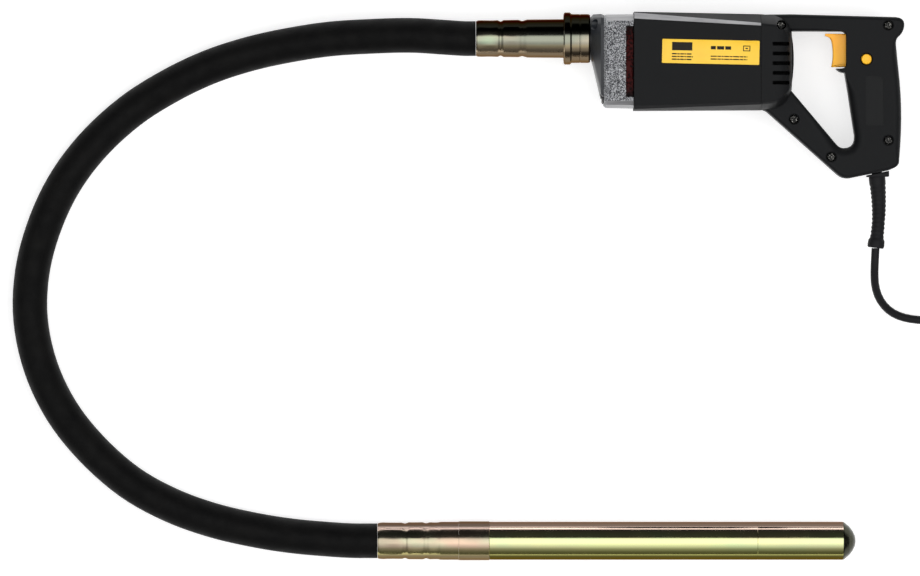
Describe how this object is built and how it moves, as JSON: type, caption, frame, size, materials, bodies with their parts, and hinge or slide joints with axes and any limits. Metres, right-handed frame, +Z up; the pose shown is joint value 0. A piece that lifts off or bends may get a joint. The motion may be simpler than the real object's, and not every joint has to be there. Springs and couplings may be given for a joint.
{
  "type": "concrete vibrator",
  "caption": "Hand-held electric drive machine with a D handle, turning an eccentric weight in a steel poker through a flexible shaft in a rubber hose.",
  "frame": {"origin": "on the floor under the middle of the drive machine and the poker, which lie on their side", "axes": "+X along the poker towards its tip and along the motor towards the handle, +Y from the poker to the drive machine, +Z up off the floor"},
  "size_m": [0.9659, 0.5032, 0.0868],
  "materials": {
    "black_plastic": "fine moulded grain, satin black",
    "inner_plastic": "plain dark grey moulding",
    "hammered_casting": "cast aluminium with a speckled hammered paint",
    "aluminium_plate": "machined",
    "zinc_yellow": "turned steel, zinc plated and yellow passivated",
    "steel": "ground steel",
    "dark_screw": "blackened steel",
    "laminations": "stacked electrical steel",
    "copper": "enamelled copper",
    "red_plastic": "dark red moulding",
    "carbon": "pressed carbon",
    "orange_plastic": "orange moulding",
    "label": "printed yellow film",
    "rubber": "matt black hose rubber",
    "cord_rubber": "black cable rubber",
    "tie": "woven hook and loop strap",
    "spring_steel": "bright spring wire"
  },
  "bodies": {
    "machine": {"motor_housing": "black_plastic", "handle_shell_left": "black_plastic", "handle_shell_right": "black_plastic", "rear_bearing_bracket": "inner_plastic", "switch_body": "inner_plastic", "gear_case": "hammered_casting", "gear_plate": "aluminium_plate", "hose_ferrule": "zinc_yellow", "armature_bearing_front": "steel", "armature_bearing_rear": "steel", "spindle_bearing_front": "steel", "spindle_bearing_rear": "steel", "gear_case_screw_1": "dark_screw", "gear_case_screw_2": "dark_screw", "gear_case_screw_3": "dark_screw", "gear_case_screw_4": "dark_screw", "handle_screw_1": "dark_screw", "handle_screw_2": "dark_screw", "handle_screw_3": "dark_screw", "handle_screw_4": "dark_screw", "handle_screw_5": "dark_screw", "stator_core": "laminations", "field_coil_upper": "copper", "field_coil_lower": "copper", "fan_baffle": "red_plastic", "carbon_brush_upper": "carbon", "carbon_brush_lower": "carbon", "rating_label": "label", "hose": "rubber", "strain_relief": "cord_rubber", "mains_cord": "cord_rubber", "cord_coil": "cord_rubber", "plug": "cord_rubber", "cord_tie": "tie", "hose_liner": "spring_steel", "flexible_core": "spring_steel", "trigger_spring": "spring_steel"},
    "armature": {"armature_shaft": "steel", "armature_core": "laminations", "armature_winding_front": "copper", "armature_winding_rear": "copper", "commutator": "copper", "fan": "inner_plastic", "armature_pinion": "steel"},
    "spindle": {"output_spindle": "steel", "output_gear": "steel", "core_drive_end": "steel"},
    "nut": {"coupling_nut": "zinc_yellow"},
    "trigger_piece": {"trigger": "orange_plastic"},
    "lock_piece": {"lock_button": "orange_plastic"},
    "poker": {"poker_ferrule": "zinc_yellow", "poker_adapter": "zinc_yellow", "poker_tube": "zinc_yellow", "tip_cap": "zinc_yellow", "poker_bearing_rear": "steel", "poker_bearing_front": "steel"},
    "rotor": {"rotor_shaft": "steel", "eccentric_weight": "steel", "core_poker_end": "steel"}
  },
  "joints": [
    {"name": "armature_spin", "type": "hinge", "parent": "machine", "child": "armature", "pos_m": [0.0316, 0.2065, 0.043], "axis": [1, 0, 0], "continuous": true},
    {"name": "spindle_spin", "type": "hinge", "parent": "machine", "child": "spindle", "pos_m": [-0.0384, 0.2276, 0.043], "axis": [1, 0, 0], "continuous": true},
    {"name": "nut_turn", "type": "hinge", "parent": "machine", "child": "nut", "pos_m": [-0.0584, 0.2276, 0.043], "axis": [1, 0, 0], "continuous": true},
    {"name": "trigger_squeeze", "type": "slide", "parent": "machine", "child": "trigger_piece", "axis": [1, 0, 0], "range_m": [0, 0.004], "stiffness_N_per_m": 600, "deforming": ["trigger_spring"]},
    {"name": "lock_press", "type": "slide", "parent": "machine", "child": "lock_piece", "axis": [0, 0, -1], "range_m": [0, 0.002], "stiffness_N_per_m": 300},
    {"name": "hose_flex", "type": "hinge", "parent": "machine", "child": "poker", "pos_m": [-0.5608, -0.01, 0.0162], "axis": [0, 0, 1], "range_deg": [-12, 8], "stiffness_Nm_per_rad": 6, "deforming": ["hose", "hose_liner", "flexible_core"]},
    {"name": "rotor_spin", "type": "hinge", "parent": "poker", "child": "rotor", "pos_m": [-0.0184, -0.2337, 0.01795], "axis": [1, 0, 0], "continuous": true}
  ],
  "couplings": [
    {"joint": "spindle_spin", "follows": "armature_spin", "ratio": -0.61538},
    {"joint": "rotor_spin", "follows": "armature_spin", "ratio": 0.61538}
  ]
}
